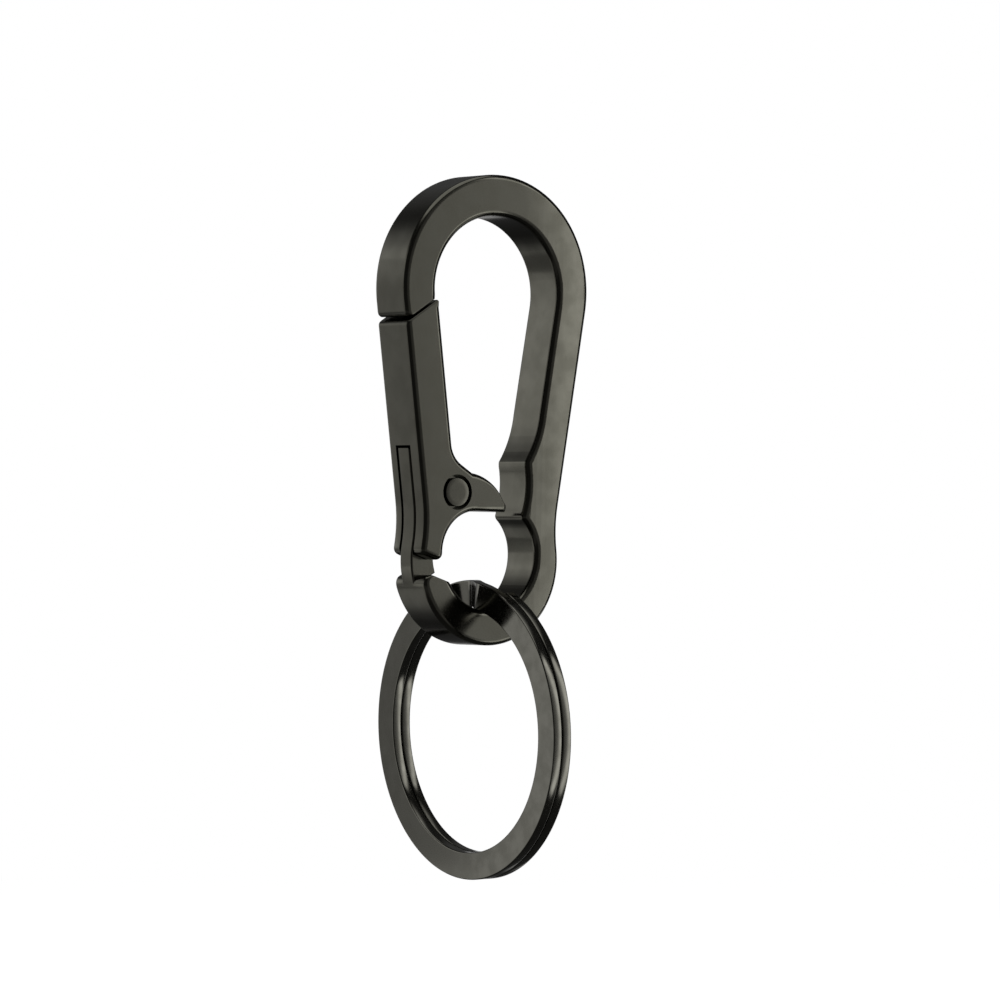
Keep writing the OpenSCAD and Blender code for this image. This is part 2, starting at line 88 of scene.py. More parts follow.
class Pen:
    arcStep = 3      # degrees between two points of an arc
    cornerStep = 12  # the same for a rounded corner
    shortest = 1e-6  # a shorter line is left out

    def __init__(self, name, start):
        bpy.ops.object.select_all(action="DESELECT")
        bpy.ops.mesh.primitive_plane_add(size=mm, location=(0, 0, 0))
        self.piece = bpy.context.active_object
        self.piece.name = name
        self.piece.data.name = name
        bpy.ops.object.mode_set(mode="EDIT")
        bpy.ops.mesh.select_all(action="SELECT")
        bpy.ops.mesh.merge(type="CENTER")
        bpy.ops.transform.translate(value=(start[0] * mm, 0, start[1] * mm))
        self.start = start
        self.at = start
        self.heading = 0

    def line(self, end):
        step = minus(end, self.at)
        if hypot(*step) > self.shortest:
            bpy.ops.mesh.extrude_vertices_move(
                TRANSFORM_OT_translate={"value": (step[0] * mm, 0, step[1] * mm)})
            self.heading = angleAt(self.at, end)
        self.at = end

    def arc(self, centre, angle, step=arcStep):  # anticlockwise from the front where angle > 0
        steps = max(1, round(abs(angle) / step))
        bpy.ops.mesh.spin(steps=steps, angle=radians(angle), axis=(0, 1, 0),
                          center=(centre[0] * mm, 0, centre[1] * mm))
        r = hypot(*minus(self.at, centre))
        self.at = plus(centre, polar(r, angleAt(centre, self.at) + angle))
        self.heading = angleAt(centre, self.at) + (90 if angle > 0 else -90)

    def swing(self, end, step=arcStep):  # arc to end that goes on in the pen's own direction
        off = (angleAt(self.at, end) - self.heading + 180) % 360 - 180
        r = hypot(*minus(end, self.at)) / 2 / sin(radians(abs(off)))
        self.arc(plus(self.at, polar(r, self.heading + (90 if off > 0 else -90))), 2 * off, step)

    def bow(self, end, sag, step=arcStep):  # arc to end whose middle stands off to the left by sag
        chord = minus(end, self.at)
        half = hypot(*chord) / 2
        r = (half * half + sag * sag) / (2 * abs(sag))
        turn = 4 * degrees(atan2(abs(sag), half))
        side = 1 if sag > 0 else -1
        outward = (-chord[1] / (2 * half) * side, chord[0] / (2 * half) * side)
        middle = along(self.at, end, 0.5)
        centre = minus(middle, (outward[0] * (r - abs(sag)), outward[1] * (r - abs(sag))))
        self.arc(centre, -turn * side, step)

    def corner(self, tip, end, r, step=cornerStep):  # towards the tip, rounded, and on towards end
        u = minus(self.at, tip)
        v = minus(end, tip)
        lu, lv = hypot(*u), hypot(*v)
        u, v = (u[0] / lu, u[1] / lu), (v[0] / lv, v[1] / lv)
        half = acos(u[0] * v[0] + u[1] * v[1]) / 2
        run = r / tan(half)
        self.line(plus(tip, (u[0] * run, u[1] * run)))
        w = plus(u, v)
        lw = hypot(*w)
        centre = plus(tip, (w[0] / lw * r / sin(half), w[1] / lw * r / sin(half)))
        turn = 180 - 2 * degrees(half)
        self.arc(centre, turn if u[0] * v[1] - u[1] * v[0] < 0 else -turn, step)

    def raisePlate(self, front, back):  # closes the outline and gives it its depth
        self.line(self.start)
        bpy.ops.mesh.select_all(action="SELECT")
        bpy.ops.mesh.remove_doubles(threshold=mergeReach)
        bpy.ops.mesh.edge_face_add()
        bpy.ops.transform.translate(value=(0, front * mm, 0))
        bpy.ops.mesh.extrude_region_move(
            TRANSFORM_OT_translate={"value": (0, (back - front) * mm, 0)})
        bpy.ops.mesh.select_all(action="SELECT")
        bpy.ops.mesh.normals_make_consistent(inside=False)
        bpy.ops.object.mode_set(mode="OBJECT")
        return self.piece


# Finishing steps shared by the pieces

def only(piece):
    bpy.ops.object.select_all(action="DESELECT")
    piece.select_set(True)
    bpy.context.view_layer.objects.active = piece


def applied(piece, kind, **settings):
    only(piece)
    modifier = piece.modifiers.new(kind.lower(), kind)
    for key, value in settings.items():
        setattr(modifier, key, value)
    bpy.ops.object.modifier_apply(modifier=modifier.name)


def roundEdges(piece, width, radiusOf, segments=6):  # radiusOf gives each edge its own radius
    weights = piece.data.attributes.new("bevel_weight_edge", "FLOAT", "EDGE")
    points = [v.co / mm for v in piece.data.vertices]
    for edge in piece.data.edges:
        a, b = points[edge.vertices[0]], points[edge.vertices[1]]
        weights.data[edge.index].value = min(1, radiusOf(a, b) / width)
    applied(piece, "BEVEL", limit_method="WEIGHT", width=width * mm, segments=segments,
            use_clamp_overlap=False, miter_outer="MITER_SHARP")


def cut(piece, tool, operation="DIFFERENCE"):
    applied(piece, "BOOLEAN", operation=operation, solver="EXACT", object=tool)
    bpy.data.objects.remove(tool)


def pinTool(r, front, back, sides=96):  # cylinder along the depth, through the pivot
    bpy.ops.object.select_all(action="DESELECT")
    px, pz = hook["pivot"]
    bpy.ops.mesh.primitive_cylinder_add(
        vertices=sides, radius=r * mm, depth=(back - front) * mm,
        location=(px * mm, (front + back) / 2 * mm, pz * mm), rotation=(pi / 2, 0, 0))
    tool = bpy.context.active_object
    bpy.ops.object.transform_apply(location=True, rotation=True, scale=True)
    return tool


def smooth(piece, angle=32):
    only(piece)
    bpy.ops.object.shade_smooth_by_angle(angle=radians(angle))
    applied(piece, "WEIGHTED_NORMAL", keep_sharp=True, weight=50)


def hang(piece):  # leans the hook as it hangs and drops it below its seat
    only(piece)
    piece.rotation_euler = (0, radians(hook["lean"]), 0)
    piece.location = (0, 0, -hook["archRadius"] * mm)
    bpy.ops.object.transform_apply(location=True, rotation=True, scale=True)


def finishPiece(piece, body, node, material):
    piece.data.materials.clear()
    piece.data.materials.append(material)
    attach(piece, body)
    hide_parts(node)
    print("piece:", piece.name, len(piece.data.polygons), "faces")


# The hook's main sizes

hook = {
    "archRadius": 8.1,
    "armWidth": 4.15,
    "crown": 0.25,         # the arch is a little thicker at its top
    "halfDepth": 2.85,
    "eye": (0, -28.05),
    "eyeRadius": 6,
    "lobe": (0, -28.65),
    "lobeRadius": 9.1,
    "waistRadius": 16,
    "flankLean": 8.45,
    "pivot": (-4.69, -21.55),
    "seamDrop": 3.75,
    "seamSlope": 34,
    "seamGap": 0.16,
    "legDrop": 28.15,
    "shoulderGap": 1.8,
    "shoulderSlope": 17.5,
    "lean": 1.9,
}

outerRadius = hook["archRadius"] + hook["armWidth"]
archTop = (0, hook["crown"])
lean = hook["flankLean"]
leanSin, leanCos = sin(radians(lean)), cos(radians(lean))
flankRun = archTop[1] - hook["lobe"][1]
waistAngle = degrees(acos((outerRadius + hook["waistRadius"] - flankRun * leanSin)
                          / (hook["lobeRadius"] + hook["waistRadius"]))) - lean
waist = plus(hook["lobe"], polar(hook["lobeRadius"] + hook["waistRadius"], waistAngle))
leftWaist = (-waist[0], waist[1])
seam = polar(1, hook["seamSlope"])
seamShift = (0, hook["seamGap"] / cos(radians(hook["seamSlope"])))


def flankPoint(z):  # on the left arm's outer side, at the height z
    return (-(outerRadius + (z - archTop[1]) * leanSin) / leanCos, z)


def lobePoint(z):  # on the left side of the lobe round the eye, at the height z
    return (-sqrt(hook["lobeRadius"] ** 2 - (z - hook["lobe"][1]) ** 2), z)


noseCorner = plus(flankPoint(-hook["seamDrop"]), (0, seamShift[1] / 2))
gateCorner = minus(noseCorner, seamShift)
noseIn = onCircle(noseCorner, seam, (0, 0), hook["archRadius"])
shoulderCorner = lobePoint(-hook["legDrop"] - hook["shoulderGap"])
shoulderLine = polar(1, -hook["shoulderSlope"])
shoulderIn = onCircle(shoulderCorner, shoulderLine, hook["eye"], hook["eyeRadius"])


# By these bounds the hook's edges are told apart when they are rounded
edgeBounds = {
    "archReach": 10.2,       # the inner edges lie nearer to the arch's middle than this
    "armTaper": 0.155,       # and nearer by this much for each millimetre further down the arms
    "eyeTop": -22,
    "eyeReach": 7.4,
    "onEndLine": 0.002,      # an edge on an end line is at most this far off it
    "endLineReach": 6,       # and at most this far from the line's corner
    "cornerReach": 2.4,      # times the corner's own radius
    "depthRun": 0.01,        # an edge from the front face to the back runs further than this
}


def acrossDepth(a, b):  # true for an edge from the front face to the back
    return abs(a.y - b.y) > edgeBounds["depthRun"]


def isInside(x, z):  # true beside the arch's inside, the inner side of the arms or the key eye
    bounds = edgeBounds
    if z > 0:
        return hypot(x, z) < bounds["archReach"]
    if z > bounds["eyeTop"]:
        return abs(x) < bounds["archReach"] + bounds["armTaper"] * z
    return hypot(x - hook["eye"][0], z - hook["eye"][1]) < bounds["eyeReach"]


# An end line's fillet is small, and grows to the side's along the corner of radius r between them
def cornerFillet(middle, corner, direction, r, turn, small, large):
    bounds = edgeBounds
    off = abs((middle.x - corner[0]) * direction[1] - (middle.z - corner[1]) * direction[0])
    near = hypot(middle.x - corner[0], middle.z - corner[1])
    if off < bounds["onEndLine"] and near < bounds["endLineReach"]:
        return small
    if near < bounds["cornerReach"] * r:
        return small + (large - small) * min(1, degrees(acos(max(-1, 1 - off / r))) / turn)
    return None


# Hook frame

frameShape = {
    "upperRidge": (4.465, -18.05),
    "lowerRidge": (4.164, -24.05),
    "ridgeRound": 0.72,
    "landSag": 0.35,
    "landEnd": (0.02, 0.6),  # right of the upper ridge, and below it in shares of ridgeRound
    "swellHeight": 5.3,
    "swellSag": 0.32,
    "eyeStart": 10,          # degrees where the arm's inside meets the eye
    "innerRound": 0.64,
    "outerRound": 0.6,
    "endRound": 0.18,
    "noseRound": 0.65,
    "shoulderRound": 0.95,
    "cornerTurn": 106,       # degrees of turn over which the fillets grow along both corners
    "cornersEnd": -3,        # the nose's and the shoulder's corner lie left of this
    "ridgeEntry": 44,        # slope of the eye's wall where it reaches the lower ridge
    "crownStart": 3,
    "crownEnd": 12.3,
    "crownStep": 0.7,
    "crownSlope": 0.054,     # of the faces at the arm's outer side
}


def makeHookFrame():
    shape = frameShape
    flankTop = plus(archTop, polar(outerRadius, 180 + lean))
    pen = Pen("hookFrameBody", flankTop)
    pen.arc(archTop, -180 - 2 * lean)
    pen.line(plus(waist, polar(hook["waistRadius"], 180 - lean)))
    pen.arc(waist, lean + waistAngle)
    lobeEnd = angleAt(hook["lobe"], lobePoint(shoulderCorner[1] - 2 * shape["shoulderRound"]))
    pen.arc(hook["lobe"], -((waistAngle - lobeEnd) % 360))
    pen.corner(shoulderCorner, shoulderIn, shape["shoulderRound"])
    pen.line(shoulderIn)
    pen.arc(hook["eye"], (shape["eyeStart"] - angleAt(hook["eye"], shoulderIn)) % 360)
    lower, upper = shape["lowerRidge"], shape["upperRidge"]
    pen.swing(plus(lower, polar(shape["ridgeRound"], -shape["ridgeEntry"])))
    pen.corner(lower, upper, shape["ridgeRound"])
    aside, below = shape["landEnd"]
    pen.bow(plus(upper, (aside, -shape["ridgeRound"] * below)), -shape["landSag"])
    swellHeight = upper[1] + shape["swellHeight"]
    swellTop = (hook["archRadius"] / leanCos + swellHeight * leanSin / leanCos, swellHeight)
    pen.corner(upper, swellTop, shape["ridgeRound"])
    pen.bow(swellTop, -shape["swellSag"])
    pen.line(polar(hook["archRadius"], -lean))
    pen.arc((0, 0), (angleAt((0, 0), noseIn) + lean) % 360)
    pen.corner(noseCorner, pen.start, shape["noseRound"])
    body = pen.raisePlate(-hook["halfDepth"], hook["halfDepth"])

    def radiusOf(a, b):
        if acrossDepth(a, b):
            return 0
        middle = (a + b) / 2
        for corner, direction, r in ((noseCorner, seam, shape["noseRound"]),
                                     (shoulderCorner, shoulderLine, shape["shoulderRound"])):
            fillet = cornerFillet(middle, corner, direction, r, shape["cornerTurn"],
                                  shape["endRound"], shape["outerRound"])
            if middle.x < shape["cornersEnd"] and fillet:
                return fillet
        return shape["innerRound"] if isInside(middle.x, middle.z) else shape["outerRound"]

    roundEdges(body, shape["innerRound"], radiusOf)
    return body


def crownArm(body):  # the right arm's two faces fall off a little towards its outer side
    shape = frameShape
    only(body)
    bpy.ops.object.mode_set(mode="EDIT")
    x = shape["crownStart"]
    while x < shape["crownEnd"]:
        bpy.ops.mesh.select_all(action="SELECT")
        bpy.ops.mesh.bisect(plane_co=(x * mm, 0, 0), plane_no=(1, 0, 0), threshold=mergeReach)
        x += shape["crownStep"]
    bpy.ops.object.mode_set(mode="OBJECT")
    span = shape["crownEnd"] - shape["crownStart"]
    for v in body.data.vertices:
        run = v.co.x / mm - shape["crownStart"]
        if run > 0:
            v.co.y *= 1 - shape["crownSlope"] * run * run / (2 * span * hook["halfDepth"])


# Tongue that rises from the frame's left end into the gate

tongueShape = {
    "front": -0.85,
    "back": 1.25,
    "inset": 0.02,
    "width": 2.2,
    "top": -17.05,
    "eyeRadius": 2.45,
    "legInner": 6.2,
    "footAngle": 200,           # degrees round the lobe and the eye where its foot ends in the frame
    "shankHole": 1.25,
    "pocketRadius": 1.9,
    "pocketFloor": 0.1,
    "springRadius": 1.6,
    "legSlot": 0.3,             # half width of the slots for the spring's legs
    "legReach": 3.95,
    "upperLegBack": 1.75,
    "toolEnd": 2,               # the cutting tools end past the tongue's faces
    "legToolEnd": 2.1,
    "edgeRound": 0.22,
}


def stripPoint(d, z):  # d further in than the tongue's outer edge
    return (flankPoint(z)[0] + (tongueShape["inset"] + d) / leanCos, z)


def makeTongue():
    shape = tongueShape
    pen = Pen("tongue", stripPoint(0, shape["top"]))
    inset = shape["inset"]
    pen.line(plus(leftWaist, polar(hook["waistRadius"] + inset, lean)))
    pen.arc(leftWaist, -lean - waistAngle)
    pen.arc(hook["lobe"], shape["footAngle"] - (180 - waistAngle))
    pen.line(plus(hook["eye"], polar(shape["legInner"], shape["footAngle"])))
    pen.arc(hook["eye"], angleAt(hook["eye"], hook["pivot"]) - shape["footAngle"])
    pen.line(hook["pivot"])
    pen.line(stripPoint(shape["width"], hook["pivot"][1]))
    pen.line(stripPoint(shape["width"], shape["top"]))
    tongue = pen.raisePlate(shape["front"], shape["back"])
    roundEdges(tongue, shape["edgeRound"],
               lambda a, b: 0 if acrossDepth(a, b) else shape["edgeRound"], segments=4)
    cut(tongue, pinTool(shape["eyeRadius"], shape["front"] + inset, shape["back"] - inset), "UNION")
    cut(tongue, pinTool(shape["shankHole"], -shape["toolEnd"], shape["toolEnd"]))
    cut(tongue, pinTool(shape["pocketRadius"], shape["pocketFloor"], shape["toolEnd"]))
    cut(tongue, legTool(-shape["legReach"], 0, shape["pocketFloor"] + inset, shape["legToolEnd"]))
    return tongue


def legTool(low, high, front, back):  # slot for a leg of the spring, heights counted from the pivot
    px, pz = hook["pivot"]
    half = tongueShape["legSlot"]
    pen = Pen("legTool", (px - tongueShape["springRadius"] - half, pz + low))
    pen.line(plus(pen.at, (2 * half, 0)))
    pen.line(plus(pen.at, (0, high - low)))
    pen.line(plus(pen.at, (-2 * half, 0)))
    return pen.raisePlate(front, back)


# Gate

gateShape = {
    "width": 4.4,
    "footRound": 3,
    "footSlope": 31,
    "finRoot": (2.12, 2.1),     # from the pivot
    "finReach": 7.9,
    "finUnder": 1.9,
    "finBeak": (6.3, -1.1),     # where the fin's upper edge meets its thin toe
    "finBeakRound": 0.9,
    "finTipHeight": 0.6,
    "finTipDepth": 0.65,        # half of it
    "finCrown": 0.6,
    "finTipRound": 0.24,
    "legRound": 4.5,
    "legEndRound": 0.72,
    "edgeRound": 0.6,
    "endRound": 0.18,
    "cornerRound": 0.65,
    "cornerTurn": 64,           # degrees of turn over which the fillet grows along the corner
    "topRound": 0.25,
    "topReach": 3,              # times topRound: edges this near to the upper inner corner get endRound
    "topRun": 4,                # times topRound: the inner side has a point this far below that corner
    "outlineStart": 0.3,        # share of the outer flank above the outline's first point
    "legEndStart": 0.9,         # times legEndRound: the lobe's arc ends this far above the leg's corner
    "finSlant": 1.5,            # over this length the fin's faces slant in to its tip
    "finBend": 0.5,             # over this length they bend into that slant
    "finCuts": 7,
    "slotFront": -1.2,
    "slotBack": 1.45,
    "slotGap": 0.2,
    "slotTop": 1.5,             # times slotGap: how far the slot goes on above the tongue
    "slotStop": -58,            # the lower slot's inner side runs down from the pivot at this slope
    "slotStopReach": 8,
    "toolReach": 4,             # past the gate's outline and its faces
    "grooveRadius": 1.88,
    "grooveDepth": 0.95,
    "headRadius": 1.52,
    "headHeight": 1,
}


def makeGate():
    shape = gateShape
    pivot = hook["pivot"]
    innerStart = plus(archTop, polar(outerRadius - shape["width"], 180 + lean))
    upFlank = polar(1, lean + 90)
    topIn = crossing(gateCorner, seam, innerStart, upFlank)
    tip = plus(pivot, (shape["finReach"], -shape["finUnder"]))
    tipTop = plus(tip, (0, shape["finTipHeight"]))
    beak = plus(pivot, shape["finBeak"])
    root = plus(pivot, shape["finRoot"])
    foot = crossing(root, polar(1, 180 - shape["footSlope"]), innerStart, upFlank)
    legCorner = (shape["legRound"] - tongueShape["legInner"],
                 pivot[1] - shape["finUnder"] - shape["legRound"])
    legOut = lobePoint(-hook["legDrop"])
    legIn = crossing(legOut, shoulderLine, (-tongueShape["legInner"], 0), (0, 1))

    flankFoot = plus(leftWaist, polar(hook["waistRadius"], lean))
    pen = Pen("gateLever", along(gateCorner, flankFoot, shape["outlineStart"]))
    pen.line(flankFoot)
    pen.arc(leftWaist, -lean - waistAngle)
    lobeEnd = lobePoint(legOut[1] + shape["legEndRound"] * shape["legEndStart"])
    pen.arc(hook["lobe"], angleAt(hook["lobe"], lobeEnd) % 360 - (180 - waistAngle))
    pen.corner(legOut, legIn, shape["legEndRound"])
    pen.corner(legIn, (legIn[0], legIn[1] + 1), shape["legEndRound"])
    pen.line((-tongueShape["legInner"], legCorner[1]))
    pen.arc(legCorner, -90)
    pen.line((beak[0], tip[1]))
    pen.corner(tip, tipTop, shape["finTipRound"])
    pen.corner(tipTop, beak, shape["finTipRound"])
    halfChord = hypot(*minus(root, beak)) / 2
    beakSlope = angleAt(beak, root) - 2 * degrees(atan2(shape["finCrown"], halfChord))
    pen.corner(beak, plus(beak, polar(1, beakSlope)), shape["finBeakRound"])
    pen.swing(root)
    pen.corner(foot, innerStart, shape["footRound"], step=6)
    pen.line(plus(topIn, polar(shape["topRun"] * shape["topRound"], lean - 90)))
    pen.corner(topIn, gateCorner, shape["topRound"], step=20)
    pen.corner(gateCorner, pen.start, shape["cornerRound"])
    gate = pen.raisePlate(-hook["halfDepth"], hook["halfDepth"])

    def radiusOf(a, b):
        if acrossDepth(a, b):
            return 0
        middle = (a + b) / 2
        if hypot(middle.x - topIn[0], middle.z - topIn[1]) < shape["topReach"] * shape["topRound"]:
            return shape["endRound"]
        if middle.x > root[0] and (middle.x > beak[0] or middle.z > beak[1]):
            share = min(1, (middle.x - root[0]) / (beak[0] - root[0]))
            eased = share * share * (3 - 2 * share)
            return shape["edgeRound"] + (shape["endRound"] - shape["edgeRound"]) * eased
        return cornerFillet(middle, gateCorner, seam, shape["cornerRound"], shape["cornerTurn"],
                            shape["endRound"], shape["edgeRound"]) or shape["edgeRound"]

    roundEdges(gate, shape["edgeRound"], radiusOf)
    thinFin(gate, tip[0])
    return gate


def thinFin(gate, end):  # both faces of the fin slant in to its tip
    shape = gateShape
    only(gate)
    knee = end - shape["finSlant"]
    bend = shape["finBend"]
    bpy.ops.object.mode_set(mode="EDIT")
    for k in range(shape["finCuts"]):
        x = knee + bend * (k / (shape["finCuts"] - 1) - 0.5)
        bpy.ops.mesh.select_all(action="SELECT")
        bpy.ops.mesh.bisect(plane_co=(x * mm, 0, 0), plane_no=(1, 0, 0), threshold=mergeReach)
    bpy.ops.object.mode_set(mode="OBJECT")
    slope = (1 - shape["finTipDepth"] / hook["halfDepth"]) / shape["finSlant"]
    for v in gate.data.vertices:
        over = v.co.x / mm - knee
        if over > -bend / 2:
            v.co.y *= 1 - slope * ((over + bend / 2) ** 2 / (2 * bend) if over < bend / 2 else over)


def slotTool(points):
    pen = Pen("slotTool", points[0])
    for point in points[1:]:
        pen.line(point)
    return pen.raisePlate(gateShape["slotFront"], gateShape["slotBack"])


def cutGate(gate):  # slot for the tongue, shank hole, and the seats and grooves of the rivet's heads
    shape = gateShape
    px, pz = hook["pivot"]
    gap, reach = shape["slotGap"], shape["toolReach"]
    far = stripPoint(-reach, pz)
    top = tongueShape["top"] + shape["slotTop"] * gap
    inner = tongueShape["width"] + gap
    half = hook["halfDepth"]
    for side in (-1, 1):
        for r, depth in ((shape["grooveRadius"], shape["grooveDepth"]),
                         (shape["headRadius"], shape["headHeight"])):
            cut(gate, pinTool(r, *sorted((side * reach, side * (half - depth)))))
    cut(gate, pinTool(rivetShape["shankRadius"], -half, half))
    cut(gate, pinTool(tongueShape["eyeRadius"] + gap, shape["slotFront"], shape["slotBack"]))
    cut(gate, slotTool([stripPoint(-reach, top), far, stripPoint(inner, pz), stripPoint(inner, top)]))
    cut(gate, legTool(-gap, tongueShape["legReach"], 0, tongueShape["upperLegBack"]))
    stop = plus(hook["pivot"], polar(shape["slotStopReach"], shape["slotStop"]))
    low = -hook["legDrop"] - reach
    cut(gate, slotTool([(px, pz + gap), (far[0], pz + gap), (far[0], low), (stop[0], low), stop]))


# Rivet: a shank with a flat head at each end, flush with the gate's faces

rivetShape = {
    "shankRadius": 1.2,
    "headRadius": 1.5,
    "rimRound": 0.05,
    "rimSteps": 5,
    "dome": 0.003,
    "domeSteps": ((0.66, 0.55), (0.33, 0.3), (0.1, 0.15)),  # shares of the radius and of the dome's rise
    "endShare": 0.99,        # faces further out than this share of the shank's half length are its ends
}


def makeRivet():
    shape = rivetShape
    px, pz = hook["pivot"]
    inner = hook["halfDepth"] - gateShape["headHeight"]
    rivet = pinTool(shape["shankRadius"], -inner, inner, sides=72)
    rivet.name = rivet.data.name = "flushRivet"
    bpy.ops.object.mode_set(mode="EDIT")
    grow = shape["headRadius"] / shape["shankRadius"]
    head = gateShape["headHeight"] - shape["rimRound"] - shape["dome"]
    steps = shape["rimSteps"]
    for side in (-1, 1):
        end = inner * mm * shape["endShare"]
        selectFaces(rivet, lambda face: face.calc_center_median().y * side > end)
        extrudeDepth(0)
        resizeRound((px, side * inner, pz), grow)
        extrudeDepth(side * head)
        for k in range(1, steps + 1):
            turn, turnBefore = radians(90 * k / steps), radians(90 * (k - 1) / steps)
            before = shape["headRadius"] - shape["rimRound"] * (1 - cos(turnBefore))
            after = shape["headRadius"] - shape["rimRound"] * (1 - cos(turn))
            extrudeDepth(side * shape["rimRound"] * (sin(turn) - sin(turnBefore)))
            resizeRound((px, 0, pz), after / before)
        shareBefore = 1
        for share, rise in shape["domeSteps"]:
            extrudeDepth(side * rise * shape["dome"])
            resizeRound((px, 0, pz), share / shareBefore)
            shareBefore = share
    bpy.ops.mesh.select_all(action="SELECT")
    bpy.ops.mesh.normals_make_consistent(inside=False)
    bpy.ops.object.mode_set(mode="OBJECT")
    return rivet


def selectFaces(piece, wanted):
    bpy.ops.mesh.select_all(action="DESELECT")
    shell = bmesh.from_edit_mesh(piece.data)
    for face in shell.faces:
        face.select_set(wanted(face))
    bmesh.update_edit_mesh(piece.data)


def extrudeDepth(distance):
    bpy.ops.mesh.extrude_region_move(TRANSFORM_OT_translate={"value": (0, distance * mm, 0)})


def resizeRound(centre, factor):
    bpy.ops.transform.resize(value=(factor, 1, factor), orient_type="GLOBAL",
                             center_override=(centre[0] * mm, centre[1] * mm, centre[2] * mm))


# Split ring: flat wire in two turns that a short crank joins

ringShape = {
    "middle": (-1.347, -54.872),  # below the hook's seat, as the ring hangs
    "lean": 1.15,
    "meanRadius": 14.55,
    "wireWidth": 2.9,
    "wireThick": 1.1,
    "layer": 0.6,                 # from the ring's middle to the middle of each turn
    "edgeRound": 0.15,
    "edgeSteps": 5,
    "crankAt": 5,                 # degrees round the ring
    "crankSpan": 14,
    "crankSteps": 28,
    "endAt": 18,
    "turnSteps": 180,
}


def makeRing():
    shape = ringShape
    bpy.ops.object.select_all(action="DESELECT")
    bpy.ops.mesh.primitive_plane_add(size=mm, location=(0, 0, 0), rotation=(0, 0, 0))
    ring = bpy.context.active_object
    ring.name = ring.data.name = "splitRing"
    ring.scale = (shape["wireThick"], shape["wireWidth"], 1)
    bpy.ops.object.transform_apply(scale=True)
    bpy.ops.object.mode_set(mode="EDIT")
    bpy.ops.mesh.select_all(action="SELECT")
    bpy.ops.mesh.bevel(offset=shape["edgeRound"] * mm, segments=shape["edgeSteps"], affect="VERTICES")
    bpy.ops.mesh.delete(type="ONLY_FACE")
    bpy.ops.mesh.select_all(action="SELECT")
    bpy.ops.transform.translate(value=(shape["layer"] * mm, shape["meanRadius"] * mm, 0))
    start = 90 + shape["crankAt"] + shape["endAt"] - 360
    bpy.ops.transform.rotate(value=-radians(start), orient_axis="X", center_override=(0, 0, 0))
    half = shape["crankSpan"] / 2
    flat = 360 - shape["endAt"] - half
    steps = shape["crankSteps"]
    sweep(shape["turnSteps"], flat)
    for k in range(steps):
        s, t = (-half + shape["crankSpan"] * q / steps for q in (k, k + 1))
        sweep(1, t - s)
        shift = shape["layer"] * (sin(radians(90 * s / half)) - sin(radians(90 * t / half)))
        bpy.ops.transform.translate(value=(shift * mm, 0, 0))
    sweep(shape["turnSteps"], flat)
    bpy.ops.mesh.select_all(action="SELECT")
    bpy.ops.mesh.fill_holes(sides=0)
    bpy.ops.mesh.select_all(action="SELECT")
    bpy.ops.mesh.normals_make_consistent(inside=False)
    bpy.ops.object.mode_set(mode="OBJECT")
    ring.rotation_euler = (0, radians(-shape["lean"]), 0)
    ring.location = (shape["middle"][0] * mm, 0, shape["middle"][1] * mm)
    bpy.ops.object.transform_apply(location=True, rotation=True, scale=True)
    return ring


def sweep(steps, angle):  # carries the wire's section on round the ring
    bpy.ops.mesh.spin(steps=steps, angle=radians(angle), axis=(-1, 0, 0), center=(0, 0, 0))


# Spring: the wire's lower leg stays in the tongue and on the clip its upper leg turns with the gate, but
# this copy is attached to neither body


def makeSpring():  # copy of the CAD wire with its points merged
    wire =bpy.data.objects.new("gateSpringWire", bpy.data.objects["gate_spring"].data.copy())
    bpy.context.scene.collection.objects.link(wire)
    only(wire)
    bpy.ops.object.mode_set(mode="EDIT")
    bpy.ops.mesh.select_all(action="SELECT")
    bpy.ops.mesh.remove_doubles(threshold=mergeReach)
    bpy.ops.object.mode_set(mode="OBJECT")
    return wire


def finishSpring(wire, material):
    wire.data.materials.clear()
    wire.data.materials.append(material)
    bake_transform(wire)
    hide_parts("gate_spring")
    print("piece:", wire.name, len(wire.data.polygons), "faces")


# Materials

def linear(hexColour):  # sRGB hex to the linear values of a colour socket
    shares = [int(hexColour[i:i + 2], 16) / 255 for i in (1, 3, 5)]
    return [s / 12.92 if s <= 0.04045 else ((s + 0.055) / 1.055) ** 2.4 for s in shares] + [1]


def addNode(tree, kind, settings=None, inputs=None):  # an input is a value or another node's socket
    node = tree.nodes.new("ShaderNode" + kind)
    for key, value in (settings or {}).items():
        setattr(node, key, value)
    for key, value in (inputs or {}).items():
        if isinstance(value, bpy.types.NodeSocket):
            tree.links.new(value, node.inputs[key])
        else:
            node.inputs[key].default_value = value
    return node


def emptyMaterial(name):
    material = bpy.data.materials.new(name)
    material.use_nodes = True
    material.node_tree.nodes.clear()
    return material, material.node_tree


# Satin gunmetal plating over zinc, cast in a polished die and tumbled before it was plated.
# The eye sees a dark, warm grey metal with soft-edged reflections that waver a little.
castingLook = {
    "name": "gunmetalPlatedZinc",
    "colour": "#5e5d55",
    "shade": "#56554d",
    "roughness": (0.14, 0.19),
    "mottleSize": 2.4,
    "swellSize": 8,
    "swellDepth": 0.002,
    "peelSize": 0.7,
    "peelDepth": 0.0004,
}

# The same plating on a headed steel rivet, whose turned head is a little smoother and darker
rivetLook = {
    "name": "gunmetalPlatedRivet",
    "colour": "#5a5951",
    "shade": "#504f48",
    "roughness": (0.15, 0.2),
    "mottleSize": 1.1,
    "swellSize": 2.2,
    "swellDepth": 0.003,
    "peelSize": 0.5,
    "peelDepth": 0.0004,
}

